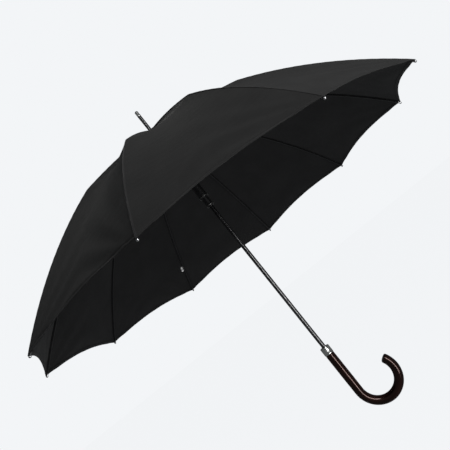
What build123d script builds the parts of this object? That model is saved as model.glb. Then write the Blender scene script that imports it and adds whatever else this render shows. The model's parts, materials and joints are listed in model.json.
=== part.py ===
from build123d import *

import os
from math import asin, atan2, cos, degrees, hypot, pi, radians, sin

# Stick umbrella, open.  Millimetres, +Z up the shaft towards the ferrule, and the crook bends
# towards +X.  The origin is on the shaft's axis, at the middle of the handle's straight grip.

# ---- driving dimensions -------------------------------------------------------------------
RIB_COUNT = 10
RIB_PHASE = 14.0             # azimuth of rib 1, degrees from the crook's plane
TIP_RADIUS = 520.0           # shaft axis to a rib's tip, open
LINK = 242.0                 # top notch to rib joint, and rib joint to runner
PIVOT_RADIUS = 13.0          # shaft axis to the wire rings of the notch and the runner
OPEN_ANGLE = 71.0            # inner rib against the shaft, open
FOLD_ANGLE = 70.0            # what the inner rib turns through when the umbrella closes
JOINT_HEIGHT = 234.0         # rib joint above the plane of the tips, open
INNER_SAGITTA = 4.0          # bow of the rib between notch and joint
OUTER_SAGITTA = 14.5         # bow of the rib between joint and tip

SHAFT_RADIUS = 5.0
SHAFT_WALL = 0.9
GRIP_LENGTH = 100.0          # straight stretch of the handle
HANDLE_RADIUS = 10.2
CROOK_RADIUS = 46.5          # to the centre line of the bent stretch
CROOK_SWEEP = 214.0
CROOK_END_ROUND = 3.5
SHAFT_SOCKET = 90.0          # depth of the shaft's bore in the handle
COLLAR_RADIUS = 11.0
COLLAR_HEIGHT = 18.0
COLLAR_CHAMFER = 0.7
TIPS_ABOVE_COLLAR = 327.0    # plane of the tips above the collar, open

FERRULE_RADIUS = 4.4
FERRULE_TOP = 382.0          # end of the ferrule above the plane of the tips
FERRULE_CAP_LENGTH = 15.0
FERRULE_CAP_ROUND = 2.0
SPIGOT_LENGTH = 20.0         # ferrule inside the shaft
FLANGE_RADIUS = 8.5
FLANGE_THICKNESS = 2.0
FLANGE_CHAMFER = 1.2

RIB_WIDTH = 3.0
RIB_DEPTH = 3.0
PIN_RADIUS = 0.8
EYE_RADIUS = 2.4
EYE_HALF = 0.8               # half the thickness of a rib's or stretcher's end eye
WIRE_EYE_RADIUS = 1.8        # eye on a wire ring
WIRE_EYE_LENGTH = 9.0        # wire to the end of the eye's tail, inside the bar
WIRE_INSET = 7.0             # wire to the bar
JOINT_EYE_RADIUS = 2.0       # outer rib's eye on the joint's pin
JOINT_EYE_LENGTH = 8.0
JOINT_INSET = 6.5            # joint to the bars of both ribs
CHEEK_LENGTH = 9.0
PIN_END = 0.3                # pin beyond the outermost ear
PIN_HEAD_RADIUS, PIN_HEAD_HEIGHT = 1.4, 0.6
CHEEK_INNER, CHEEK_OUTER = 1.1, 1.8      # inner rib's ears at the joint
EAR_INNER, EAR_OUTER = 2.1, 2.9          # stretcher's ears at the joint
FORK_LENGTH = 19.0           # joint to the stretcher's bar
BRIDGE_START, BRIDGE_END = 1.0, 5.0      # bridge that joins the ears, beyond the bar's start
RUNNING_GAP = 0.05           # radial clearance of pins and of the runner on the shaft

HUB_RADIUS = 15.0            # top notch and runner head
HUB_HALF = 4.0
SLOT_HALF = 1.2              # half the width of a slot in notch and runner
SLOT_FLOOR = 9.6             # shaft axis to the bottom of those slots
HUB_WEB = 1.2                # solid end face that closes the slots
SKIRT_RADIUS, SKIRT_LENGTH = 9.0, 12.0   # notch below its slots
SEAT_GAP = 0.02              # round a wire in its groove
WIRE_RADIUS = 0.6

RUNNER_LENGTH = 73.5         # wire ring to the runner's lower end
RUNNER_SLEEVE_RADIUS = 11.0
RUNNER_SLEEVE_LENGTH = 49.0  # wire ring to the end of the wide sleeve
RUNNER_NECK_RADIUS = 8.6
KEYWAY_HALF = 1.9            # groove in the runner's bore that clears the catches
KEYWAY_FLOOR = 8.0
TRIM_INSET, TRIM_PROUD, TRIM_WIDTH = 2.5, 0.7, 2.2   # bright rings near the ends of the steps
CATCH_AZIMUTH = 120.0
CATCH_LENGTH = 20.0
CATCH_HALF = 1.3
CATCH_PROUD = 2.4            # how far a catch stands out of the shaft
CATCH_GAP = 0.25
CATCH_BACK = 1.2             # shaft axis to the back of a catch
CATCH_LAND = 5.0             # upright face under the shoulder
CATCH_FOOT = 2.0             # length of the foot inside the shaft
CATCH_FLUSH = 0.4            # foot below the inside of the shaft's wall
TOP_CATCH_GAP = 0.5          # runner's lower end to the top catch, open
BOTTOM_CATCH_REACH = 30.0    # bottom catch's top inside the runner, closed

PANEL_LIFT = 4.5             # fabric above the middle of the rib
PANEL_THICKNESS = 0.7
PANEL_SAG = 15.0             # fall of a panel between two ribs
SAG_SKEW = 0.7               # under 1, the deepest place lies nearer the crown than the hem
PANEL_ROWS, PANEL_COLUMNS = 10, 6
PANEL_FIT = 0.2              # how closely the saddle follows its points
PANEL_EDGE_GAP = 0.5         # from a panel's side to the plane of its rib
PANEL_INNER_RADIUS = 20.0
HEM_SCALLOP = 16.0           # rise of the hem between two tips, along the rib
ROSETTE_RADIUS = 24.0
ROSETTE_THICKNESS = 0.8
TIP_BALL_RADIUS = 2.2
STRAP_WIDTH = 24.0
STRAP_LENGTH = 78.0
STRAP_FROM_TIP = 92.0        # strap's seam to the rib's tip, along the rib
STRAP_RIB = 4                # rib that the strap is sewn over
STRAP_GAP = 1.4              # between canopy and strap
STRAP_THICKNESS = 1.2
STUD_RADIUS, STUD_HEIGHT = 4.5, 2.0
STUD_INSET = 10.0            # stud's middle to the strap's end

# ---- worked out from those ----------------------------------------------------------------
COLLAR_TOP = GRIP_LENGTH / 2 + COLLAR_HEIGHT
TIP_PLANE = COLLAR_TOP + TIPS_ABOVE_COLLAR
JOINT = (PIVOT_RADIUS + LINK * sin(radians(OPEN_ANGLE)), TIP_PLANE + JOINT_HEIGHT)
NOTCH_Z = JOINT[1] + LINK * cos(radians(OPEN_ANGLE))
RUNNER_Z = NOTCH_Z - 2 * LINK * cos(radians(OPEN_ANGLE))
NOTCH = (PIVOT_RADIUS, NOTCH_Z)
RUNNER = (PIVOT_RADIUS, RUNNER_Z)
TIP = (TIP_RADIUS, TIP_PLANE)
CLOSED_DROP = 2 * LINK * (cos(radians(OPEN_ANGLE - FOLD_ANGLE)) - cos(radians(OPEN_ANGLE)))
TOP_CATCH_TOP = RUNNER_Z - RUNNER_LENGTH - TOP_CATCH_GAP
BOTTOM_CATCH_TOP = RUNNER_Z - CLOSED_DROP - RUNNER_LENGTH + BOTTOM_CATCH_REACH
SHAFT_FOOT = GRIP_LENGTH / 2 - SHAFT_SOCKET
SHAFT_HEAD = NOTCH_Z + HUB_HALF
FERRULE_END = TIP_PLANE + FERRULE_TOP
CAP_FOOT = FERRULE_END - FERRULE_CAP_LENGTH
HALF_GORE = 180.0 / RIB_COUNT


# ---- plane geometry of one rib: (distance from the shaft, height) -----------------------------
class Bow:
    """A circular arc from one point to another, bowed outwards by its sagitta."""

    def __init__(self, start, end, sagitta):
        chord = hypot(end[0] - start[0], end[1] - start[1])
        self.radius = (chord ** 2 / 4 + sagitta ** 2) / (2 * sagitta)
        self.half = asin(chord / (2 * self.radius))
        self.along = atan2(end[1] - start[1], end[0] - start[0])
        self.start = start
        self.length = 2 * self.half * self.radius

    def heading(self, distance):
        """Direction of travel, as an angle above the horizontal, in radians."""
        return self.along + self.half - distance / self.radius

    def point(self, distance, lift=0.0):
        """Point at a distance along the arc, lifted off it towards its outer side."""
        first, now = self.along + self.half, self.heading(distance)
        across = self.start[0] + self.radius * (sin(first) - sin(now)) - lift * sin(now)
        height = self.start[1] - self.radius * (cos(first) - cos(now)) + lift * cos(now)
        return across, height


INNER_BOW = Bow(NOTCH, JOINT, INNER_SAGITTA)
OUTER_BOW = Bow(JOINT, TIP, OUTER_SAGITTA)


def ridge(distance, lift):
    """Point above the rib, from the notch at 0 to the tip, over both of its bows."""
    if distance <= INNER_BOW.length:
        return INNER_BOW.point(distance, lift)
    return OUTER_BOW.point(distance - INNER_BOW.length, lift)


RIDGE_LENGTH = INNER_BOW.length + OUTER_BOW.length


def rib_plane(azimuth):
    """Plane of a rib: x runs out from the shaft, y runs up, and its normal lies along -tangent."""
    out = (cos(radians(azimuth)), sin(radians(azimuth)), 0)
    return Plane(origin=(0, 0, 0), x_dir=out, z_dir=(out[1], -out[0], 0))


def bowed_bar(bow, first, last):
    """Bar of a rib along part of a bow, in the local rib plane (x out, y up, z across)."""
    middle = (first + last) / 2
    edges = [
        ThreePointArc(*(bow.point(at, lift) for at in (first, middle, last)))
        for lift in (RIB_DEPTH / 2, -RIB_DEPTH / 2)
    ]
    ends = [
        Line(bow.point(at, RIB_DEPTH / 2), bow.point(at, -RIB_DEPTH / 2)) for at in (first, last)
    ]
    outline = make_face([edges[0], ends[1], edges[1], ends[0]])
    return extrude(outline, amount=RIB_WIDTH / 2, both=True)


def plate(centre, towards, length, half_near, half_far, radius):
    """Flat link end: a round eye at centre and a straight tail, between two distances across."""
    tail = Pos(*centre) * Rot(0, 0, degrees(towards)) * Pos(length / 2, 0)
    outline = tail * Rectangle(length, 2 * radius) + Pos(*centre) * Circle(radius)
    return Pos(0, 0, half_near) * extrude(outline, amount=half_far - half_near)


def pair(centre, towards, length, half_near, half_far, radius):
    """The same link end on both sides of the rib's plane."""
    side = plate(centre, towards, length, half_near, half_far, radius)
    return side + mirror(side, Plane.XY)


def bore(centre, radius, half):
    """Cylinder across the rib's plane."""
    return Pos(*centre) * Cylinder(radius, 2 * half)


def inner_rib():
    """Rib from the notch's wire to the rib joint, with ears and the joint's pin."""
    bar = bowed_bar(INNER_BOW, WIRE_INSET, INNER_BOW.length - JOINT_INSET)
    eye = plate(
        NOTCH, INNER_BOW.heading(0), WIRE_EYE_LENGTH, -EYE_HALF, EYE_HALF, WIRE_EYE_RADIUS)
    eye -= bore(NOTCH, WIRE_RADIUS + 2 * RUNNING_GAP, EYE_HALF + 1)
    back = INNER_BOW.heading(INNER_BOW.length) + pi
    ears = pair(JOINT, back, CHEEK_LENGTH, CHEEK_INNER, CHEEK_OUTER, EYE_RADIUS)
    pin = bore(JOINT, PIN_RADIUS, EAR_OUTER + PIN_END)
    head = Pos(*JOINT, EAR_OUTER + PIN_END) * Cylinder(PIN_HEAD_RADIUS, PIN_HEAD_HEIGHT)
    heads = head + mirror(head, Plane.XY)
    return bar + eye + ears + pin + heads


def outer_rib():
    """Rib from the joint's pin to the tip, with an eye."""
    bar = bowed_bar(OUTER_BOW, JOINT_INSET, OUTER_BOW.length - TIP_BALL_RADIUS)
    eye = plate(
        JOINT, OUTER_BOW.heading(0), JOINT_EYE_LENGTH, -EYE_HALF, EYE_HALF, JOINT_EYE_RADIUS)
    return bar + eye - bore(JOINT, PIN_RADIUS + RUNNING_GAP, EYE_HALF + 1)


def rib_tip():
    """Bead that closes the end of a rib."""
    return Pos(*OUTER_BOW.point(OUTER_BOW.length)) * Sphere(TIP_BALL_RADIUS)


def stretcher():
    """Strut from the runner's wire to the rib joint, forked round the joint."""
    towards = atan2(RUNNER[1] - JOINT[1], RUNNER[0] - JOINT[0])
    fork = pair(JOINT, towards, FORK_LENGTH + BRIDGE_END, EAR_INNER, EAR_OUTER, EYE_RADIUS)
    fork -= bore(JOINT, PIN_RADIUS + RUNNING_GAP, EAR_OUTER + 1)
    bar_length = LINK - FORK_LENGTH - WIRE_INSET
    bridge_middle = FORK_LENGTH + (BRIDGE_START + BRIDGE_END) / 2
    place = Pos(*JOINT) * Rot(0, 0, degrees(towards))
    bar = place * Pos(FORK_LENGTH + bar_length / 2, 0) * Box(bar_length, RIB_DEPTH, RIB_WIDTH)
    bridge = place * Pos(bridge_middle, 0) * Box(BRIDGE_END - BRIDGE_START, RIB_DEPTH, 2 * EAR_OUTER)
    eye = plate(RUNNER, towards + pi, WIRE_EYE_LENGTH, -EYE_HALF, EYE_HALF, WIRE_EYE_RADIUS)
    eye -= bore(RUNNER, WIRE_RADIUS + 2 * RUNNING_GAP, EYE_HALF + 1)
    return fork + bridge + bar + eye


def stand_up(shape, azimuth):
    """Put a shape drawn in the local rib plane at its azimuth."""
    return rib_plane(azimuth).location * shape


# ---- canopy -------------------------------------------------------------------------------------
def panel(azimuth):
    """Thin saddle between two ribs with a hollowed hem, about the azimuth of its middle."""
    half = radians(HALF_GORE)
    start = PANEL_INNER_RADIUS - PIVOT_RADIUS
    grid = []
    for row in range(PANEL_ROWS + 1):
        line = []
        for column in range(PANEL_COLUMNS + 1):
            side = 2 * column / PANEL_COLUMNS - 1
            crown = 1 - side ** 2
            share = row / PANEL_ROWS
            distance = start + share * (RIDGE_LENGTH - HEM_SCALLOP * crown - start)
            across, height = ridge(distance, PANEL_LIFT)
            width = across * sin(half) - PANEL_EDGE_GAP
            fall = PANEL_SAG * crown * sin(pi * share ** SAG_SKEW)
            line.append(Vector(across * cos(half), side * width, height - fall))
        grid.append(line)
    surface = Face.make_surface_from_array_of_points(grid, tol=PANEL_FIT)
    solid = Solid.thicken(surface, PANEL_THICKNESS, normal_override=Vector(0, 0, 1))
    return Rot(0, 0, azimuth) * solid


def tie_strap(azimuth):
    """Fabric band sewn on over a rib near its tip; it hangs free over the canopy."""
    at = OUTER_BOW.length - STRAP_FROM_TIP
    lift = PANEL_LIFT + PANEL_THICKNESS + STRAP_GAP
    middle, end = at + STRAP_LENGTH / 2, at + STRAP_LENGTH
    low = ThreePointArc(*(OUTER_BOW.point(d, lift) for d in (at, middle, end)))
    high = ThreePointArc(*(OUTER_BOW.point(d, lift + STRAP_THICKNESS) for d in (at, middle, end)))
    ends = [Line(low @ 0, high @ 0), Line(low @ 1, high @ 1)]
    band = extrude(make_face([low, ends[1], high, ends[0]]), amount=STRAP_WIDTH / 2, both=True)
    return stand_up(band, azimuth)


def strap_studs(azimuth):
    """Press stud of the strap: a cap above the band."""
    lift = PANEL_LIFT + PANEL_THICKNESS + STRAP_GAP + STRAP_THICKNESS
    at = OUTER_BOW.length - STRAP_FROM_TIP + STRAP_LENGTH - STUD_INSET
    spot = OUTER_BOW.point(at, lift)
    tilt = degrees(OUTER_BOW.heading(at))
    cap = Pos(0, 0, STUD_HEIGHT / 2) * Cylinder(STUD_RADIUS, STUD_HEIGHT)
    cap = Pos(*spot) * Rot(0, 0, tilt) * Rot(-90, 0, 0) * cap
    return stand_up(cap, azimuth)


# ---- hubs ---------------------------------------------------------------------------------------
def slots(low, high):
    """Radial slots for the eyes of ribs or stretchers, between two heights."""
    rim = HUB_RADIUS + 2
    reach = rim - SLOT_FLOOR
    middle = (SLOT_FLOOR + rim) / 2
    cut = Pos(middle, 0, (low + high) / 2) * Box(reach, 2 * SLOT_HALF, high - low)
    return [Rot(0, 0, RIB_PHASE + 360 / RIB_COUNT * k) * cut for k in range(RIB_COUNT)]


def wire_ring(height):
    """Wire that carries the eyes."""
    return Pos(0, 0, height) * Torus(PIVOT_RADIUS, WIRE_RADIUS)


def wire_groove(height):
    """Groove that a wire ring sits in."""
    return Pos(0, 0, height) * Torus(PIVOT_RADIUS, WIRE_RADIUS + SEAT_GAP)


def top_notch():
    """Hub fixed to the shaft, which carries the ribs."""
    low, high = NOTCH_Z - HUB_HALF, NOTCH_Z + HUB_HALF
    body = Pos(0, 0, NOTCH_Z) * Cylinder(HUB_RADIUS, 2 * HUB_HALF)
    skirt = Pos(0, 0, low - SKIRT_LENGTH / 2) * Cylinder(SKIRT_RADIUS, SKIRT_LENGTH)
    body = body + skirt - slots(low - 1, high - HUB_WEB)
    body -= Pos(0, 0, NOTCH_Z) * Cylinder(SHAFT_RADIUS, 4 * SKIRT_LENGTH)
    return body - wire_groove(NOTCH_Z)


def runner():
    """Sliding hub with a wide sleeve and a narrower neck, bored and grooved for the catches."""
    head = Pos(0, 0, RUNNER_Z) * Cylinder(HUB_RADIUS, 2 * HUB_HALF)
    head -= slots(RUNNER_Z - HUB_HALF + HUB_WEB, RUNNER_Z + HUB_HALF + 1)
    head -= wire_groove(RUNNER_Z)
    sleeve_end = RUNNER_Z - RUNNER_SLEEVE_LENGTH
    sleeve = Pos(0, 0, (RUNNER_Z - HUB_HALF + sleeve_end) / 2) * Cylinder(
        RUNNER_SLEEVE_RADIUS, RUNNER_SLEEVE_LENGTH - HUB_HALF)
    neck_length = RUNNER_LENGTH - RUNNER_SLEEVE_LENGTH
    neck = Pos(0, 0, sleeve_end - neck_length / 2) * Cylinder(RUNNER_NECK_RADIUS, neck_length)
    through = 3 * RUNNER_LENGTH
    cut = Cylinder(SHAFT_RADIUS + RUNNING_GAP, through)
    keyway = Pos(KEYWAY_FLOOR / 2, 0, 0) * Box(KEYWAY_FLOOR, 2 * KEYWAY_HALF, through)
    return head + sleeve + neck - Pos(0, 0, RUNNER_Z) * (cut + Rot(0, 0, CATCH_AZIMUTH) * keyway)


def runner_trims():
    """Two thin bright rings at the runner's steps, pressed on to the sleeve and the neck."""
    rings = []
    for radius, height in (
        (RUNNER_SLEEVE_RADIUS, RUNNER_Z - RUNNER_SLEEVE_LENGTH + TRIM_INSET),
        (RUNNER_NECK_RADIUS, RUNNER_Z - RUNNER_LENGTH + TRIM_INSET),
    ):
        ring = Cylinder(radius + TRIM_PROUD, TRIM_WIDTH) - Cylinder(radius, 2 * TRIM_WIDTH)
        rings.append(Pos(0, 0, height) * ring)
    return rings


# ---- catches --------------------------------------------------------------------------------------
def catch(top):
    """Sprung wedge in a slot of the shaft: square shoulder at the top, sloping below."""
    flush, proud = SHAFT_RADIUS - SHAFT_WALL - CATCH_FLUSH, SHAFT_RADIUS + CATCH_PROUD
    foot = top - CATCH_LENGTH
    outline = Polyline(
        (CATCH_BACK, top), (proud, top), (proud, top - CATCH_LAND), (SHAFT_RADIUS, foot + CATCH_FOOT),
        (flush, foot), (CATCH_BACK, foot), close=True)
    return stand_up(extrude(make_face(outline), amount=CATCH_HALF, both=True), CATCH_AZIMUTH)


def catch_slot(top):
    """Opening in the shaft's wall for one catch."""
    opening = Box(SHAFT_RADIUS * 2, 2 * (CATCH_HALF + CATCH_GAP), CATCH_LENGTH + 2 * CATCH_GAP)
    return Rot(0, 0, CATCH_AZIMUTH) * Pos(SHAFT_RADIUS, 0, top - CATCH_LENGTH / 2) * opening


# ---- shaft, ferrule and handle --------------------------------------------------------------------


def shaft_tube():
    """Thin tube from its socket in the handle to the notch, slotted for the catches."""
    length = SHAFT_HEAD - SHAFT_FOOT
    tube = Cylinder(SHAFT_RADIUS, length) - Cylinder(SHAFT_RADIUS - SHAFT_WALL, length + 2)
    tube = Pos(0, 0, (SHAFT_HEAD + SHAFT_FOOT) / 2) * tube
    return tube - catch_slot(TOP_CATCH_TOP) - catch_slot(BOTTOM_CATCH_TOP)


def crown_rosette():
    """Stiffened fabric disc on top of the notch, under the ferrule's flange."""
    disc = Cylinder(ROSETTE_RADIUS, ROSETTE_THICKNESS) - Cylinder(SHAFT_RADIUS, 4)
    return Pos(0, 0, SHAFT_HEAD + ROSETTE_THICKNESS / 2) * disc


def ferrule_tube():
    """Ferrule with its flange, and a spigot in the shaft."""
    foot = SHAFT_HEAD + ROSETTE_THICKNESS
    flange = Pos(0, 0, foot + FLANGE_THICKNESS / 2) * Cylinder(FLANGE_RADIUS, FLANGE_THICKNESS)
    flange = chamfer(flange.edges().group_by(Axis.Z)[-1], FLANGE_CHAMFER)
    body = Pos(0, 0, (foot + CAP_FOOT) / 2) * Cylinder(FERRULE_RADIUS, CAP_FOOT - foot)
    spigot_radius = SHAFT_RADIUS - SHAFT_WALL - RUNNING_GAP
    spigot = Pos(0, 0, foot - SPIGOT_LENGTH / 2) * Cylinder(spigot_radius, SPIGOT_LENGTH)
    return flange + body + spigot


def ferrule_cap():
    """Rounded metal end of the ferrule."""
    cap = Pos(0, 0, (FERRULE_END + CAP_FOOT) / 2) * Cylinder(FERRULE_RADIUS, FERRULE_CAP_LENGTH)
    return fillet(cap.edges().group_by(Axis.Z)[-1], FERRULE_CAP_ROUND)


def handle_collar():
    """Ring round the shaft on top of the handle."""
    collar = Pos(0, 0, COLLAR_TOP - COLLAR_HEIGHT / 2) * Cylinder(COLLAR_RADIUS, COLLAR_HEIGHT)
    collar = chamfer(collar.edges().filter_by(GeomType.CIRCLE), COLLAR_CHAMFER)
    return collar - Pos(0, 0, COLLAR_TOP) * Cylinder(SHAFT_RADIUS, 3 * COLLAR_HEIGHT)


def crook_handle():
    """Straight grip and bent crook with a rounded free end, bored for the shaft."""
    half = GRIP_LENGTH / 2
    path = Line((0, 0, half), (0, 0, -half))
    turn = CenterArc((CROOK_RADIUS, 0, 0), CROOK_RADIUS, 180, CROOK_SWEEP)
    crook = Plane(origin=(0, 0, -half), x_dir=(1, 0, 0), z_dir=(0, -1, 0)).location * turn
    rod = sweep(Plane(origin=(0, 0, half), z_dir=(0, 0, -1)) * Circle(HANDLE_RADIUS), path=path)
    start = Plane(origin=(0, 0, -half), z_dir=(0, 0, -1)) * Circle(HANDLE_RADIUS)
    bend = sweep(start, path=crook)
    free_end = crook @ 1
    bend = fillet(bend.faces().sort_by_distance(free_end)[0].edges(), CROOK_END_ROUND)
    socket = Pos(0, 0, half - SHAFT_SOCKET / 2) * Cylinder(SHAFT_RADIUS, SHAFT_SOCKET)
    return rod + bend - socket


# ---- write one file for each piece ------------------------------------------------------------------
os.makedirs("parts", exist_ok=True)


def write(name, *shapes):
    """Write one piece, or a group of like pieces, to its own file."""
    solids = [solid for shape in shapes for solid in shape.solids()]
    export_step(solids[0] if len(solids) == 1 else Compound(children=solids), f"parts/{name}.step")


INNER_RIB, OUTER_RIB, TIP_BEAD, STRETCHER = inner_rib(), outer_rib(), rib_tip(), stretcher()
OUTER_RIB -= TIP_BEAD
for number in range(1, RIB_COUNT + 1):
    azimuth = RIB_PHASE + 360 / RIB_COUNT * (number - 1)
    write(f"rib_inner_{number:02d}", stand_up(INNER_RIB, azimuth))
    write(f"rib_outer_{number:02d}", stand_up(OUTER_RIB, azimuth), stand_up(TIP_BEAD, azimuth))
    write(f"stretcher_{number:02d}", stand_up(STRETCHER, azimuth))
    write(f"canopy_panel_{number:02d}", panel(azimuth + HALF_GORE))

STRAP_AZIMUTH = RIB_PHASE + 360 / RIB_COUNT * (STRAP_RIB - 1)
write("shaft_tube", shaft_tube())
write("crook_handle", crook_handle())
write("handle_collar", handle_collar())
write("ferrule_tube", ferrule_tube())
write("ferrule_cap", ferrule_cap())
write("crown_rosette", crown_rosette())
write("top_notch", top_notch())
write("notch_wire", wire_ring(NOTCH_Z))
write("runner_sleeve", runner())
write("runner_wire", wire_ring(RUNNER_Z))
write("runner_trim_rings", *runner_trims())
write("top_catch", catch(TOP_CATCH_TOP))
write("bottom_catch", catch(BOTTOM_CATCH_TOP))
write("tie_strap", tie_strap(STRAP_AZIMUTH))
write("strap_stud", strap_studs(STRAP_AZIMUTH))
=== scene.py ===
"""Stick umbrella: canopy cloth, trims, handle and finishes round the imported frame."""
import json
import logging
from dataclasses import dataclass, field
from enum import Enum
from functools import cached_property
from math import asin, atan2, cos, exp, hypot, pi, radians, sin, tau
from typing import Callable

import bpy
from mathutils import Matrix, Vector


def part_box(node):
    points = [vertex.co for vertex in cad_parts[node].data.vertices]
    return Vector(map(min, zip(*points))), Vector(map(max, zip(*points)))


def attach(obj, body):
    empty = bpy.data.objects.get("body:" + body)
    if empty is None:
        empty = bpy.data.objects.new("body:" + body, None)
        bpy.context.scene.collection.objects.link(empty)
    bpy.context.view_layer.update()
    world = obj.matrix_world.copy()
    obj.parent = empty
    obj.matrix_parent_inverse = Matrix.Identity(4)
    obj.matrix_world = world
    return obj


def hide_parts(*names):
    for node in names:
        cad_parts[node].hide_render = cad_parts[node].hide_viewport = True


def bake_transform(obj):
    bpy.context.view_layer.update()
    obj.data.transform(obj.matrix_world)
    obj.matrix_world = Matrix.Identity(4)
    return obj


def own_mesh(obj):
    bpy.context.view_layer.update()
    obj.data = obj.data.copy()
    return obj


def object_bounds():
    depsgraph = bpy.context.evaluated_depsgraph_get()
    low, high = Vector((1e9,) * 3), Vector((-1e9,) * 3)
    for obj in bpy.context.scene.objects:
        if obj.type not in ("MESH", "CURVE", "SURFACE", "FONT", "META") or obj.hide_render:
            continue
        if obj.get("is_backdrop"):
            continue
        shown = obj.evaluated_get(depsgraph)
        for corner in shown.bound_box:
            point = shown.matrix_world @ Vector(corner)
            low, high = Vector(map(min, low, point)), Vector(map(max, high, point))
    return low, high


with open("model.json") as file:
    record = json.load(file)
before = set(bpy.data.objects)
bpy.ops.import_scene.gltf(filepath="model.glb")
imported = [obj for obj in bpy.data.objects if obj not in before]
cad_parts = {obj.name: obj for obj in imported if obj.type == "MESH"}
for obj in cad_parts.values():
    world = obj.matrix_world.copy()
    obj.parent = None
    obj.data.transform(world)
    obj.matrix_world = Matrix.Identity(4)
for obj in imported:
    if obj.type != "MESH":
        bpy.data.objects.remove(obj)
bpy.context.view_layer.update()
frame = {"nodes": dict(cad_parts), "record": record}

LOG = logging.getLogger("stick_umbrella")
MM = 0.001
LATHE_WRAP = 0.06  # metres of texture once round a turned trim
ROD_WRAP = 0.064  # metres of texture once round the handle
Point = tuple[float, float, float]
Flat = tuple[float, float]
Faces = list[tuple[int, ...]]
Socket, Piece, Material = bpy.types.NodeSocket, bpy.types.Object, bpy.types.Material


# ---- the frame's own sizes ----


def joint_place(name: str) -> Vector:
    """Place of a hinge in the row frame.

    Args:
        name: The joint's name in the record.

    Returns:
        Its position in metres.
    """
    found = next(j for j in frame["record"]["behaviour"]["joints"] if j["name"] == name)
    return Vector(found["pos_m"])


def in_rib_plane(place: Vector) -> Flat:
    """Distance from the shaft's axis, and height, of a point.

    Args:
        place: A point in the row frame.

    Returns:
        The two distances in metres.
    """
    return hypot(place.x, place.y), place.z


@dataclass(frozen=True)
class Bow:
    """Circular arc in a rib's plane, bowed outwards by its sagitta."""

    start: Flat
    end: Flat
    sagitta: float

    @cached_property
    def chord(self) -> float:
        """Straight distance between its ends."""
        return hypot(self.end[0] - self.start[0], self.end[1] - self.start[1])

    @cached_property
    def radius(self) -> float:
        """Radius of the arc."""
        return (self.chord ** 2 / 4 + self.sagitta ** 2) / (2 * self.sagitta)

    @cached_property
    def half(self) -> float:
        """Half of the angle that the arc turns through."""
        return asin(self.chord / (2 * self.radius))

    @cached_property
    def along(self) -> float:
        """Angle of the chord above the horizontal."""
        return atan2(self.end[1] - self.start[1], self.end[0] - self.start[0])

    @cached_property
    def length(self) -> float:
        """Length of the arc."""
        return 2 * self.half * self.radius

    def heading(self, distance: float) -> float:
        """Direction of travel at a distance, as an angle above the horizontal."""
        return self.along + self.half - distance / self.radius

    def point(self, distance: float, lift: float = 0.0) -> Flat:
        """Point at a distance along the arc.

        Args:
            distance: Metres from the start.
            lift: Metres off the arc, towards its outer side.

        Returns:
            Distance from the shaft's axis, and height.
        """
        first, now = self.along + self.half, self.heading(distance)
        across = self.start[0] + self.radius * (sin(first) - sin(now)) - lift * sin(now)
        height = self.start[1] - self.radius * (cos(first) - cos(now)) + lift * cos(now)
        return across, height


@dataclass(frozen=True)
class RibLine:
    """Middle line of a rib, from the notch's wire over the rib joint to the tip."""

    count: int = 10
    phase: float = radians(14.0)
    tip_radius: float = 0.520
    bead_radius: float = 2.2 * MM
    inner_sagitta: float = 4.0 * MM
    outer_sagitta: float = 14.5 * MM

    @cached_property
    def notch(self) -> Flat:
        """Hinge on the notch's wire."""
        return in_rib_plane(joint_place("canopy_fold"))

    @cached_property
    def joint(self) -> Flat:
        """Hinge of stretcher and outer rib."""
        return in_rib_plane(joint_place("stretcher_fold_01"))

    @cached_property
    def tip_height(self) -> float:
        """Height of the plane of the tips."""
        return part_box("rib_outer_01")[0][2] + self.bead_radius

    @cached_property
    def inner(self) -> Bow:
        """Arc from notch to rib joint."""
        return Bow(self.notch, self.joint, self.inner_sagitta)

    @cached_property
    def outer(self) -> Bow:
        """Arc from rib joint to tip."""
        return Bow(self.joint, (self.tip_radius, self.tip_height), self.outer_sagitta)

    @cached_property
    def length(self) -> float:
        """Length of the whole line."""
        return self.inner.length + self.outer.length

    @cached_property
    def half_angle(self) -> float:
        """Half of the angle between two ribs."""
        return pi / self.count

    def azimuth(self, number: int) -> float:
        """Azimuth of rib 1 to 10, in radians."""
        return self.phase + tau / self.count * (number - 1)

    def body(self, number: int, inner: bool = False) -> str:
        """Name of a rib's inner or outer body."""
        return f"rib_{'inner' if inner else 'outer'}_{number:02d}"


# ---- meshes ----


def new_mesh(name: str, points: list[Point], faces: Faces,
             uvs: list[Flat] | None = None) -> Piece:
    """Make a smooth-shaded mesh object in the row frame.

    Args:
        name: Name of the object.
        points: Places of its vertices.
        faces: Vertex numbers of each face.
        uvs: One UV in metres for each vertex, or None.

    Returns:
        The new object.
    """
    mesh = bpy.data.meshes.new(name)
    mesh.from_pydata([tuple(p) for p in points], [], faces)
    mesh.validate()
    if uvs is not None:
        layer = mesh.uv_layers.new(name="UVMap")
        for loop in mesh.loops:
            layer.data[loop.index].uv = uvs[loop.vertex_index]
    mesh.polygons.foreach_set("use_smooth", [True] * len(mesh.polygons))
    mesh.update()
    piece = bpy.data.objects.new(name, mesh)
    bpy.context.scene.collection.objects.link(piece)
    return piece


def grid_faces(rows: int, columns: int, close: bool = False, flip: bool = False) -> Faces:
    """Faces of a grid of points laid out row by row.

    Args:
        rows: Number of points down.
        columns: Number of points across.
        close: Joins the last column to the first.
        flip: Turns the faces over.

    Returns:
        Quads as vertex numbers.
    """
    faces = []
    for row in range(rows - 1):
        for column in range(columns if close else columns - 1):
            beside = (column + 1) % columns
            quad = (row * columns + column, row * columns + beside,
                    (row + 1) * columns + beside, (row + 1) * columns + column)
            faces.append(quad[::-1] if flip else quad)
    return faces


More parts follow.
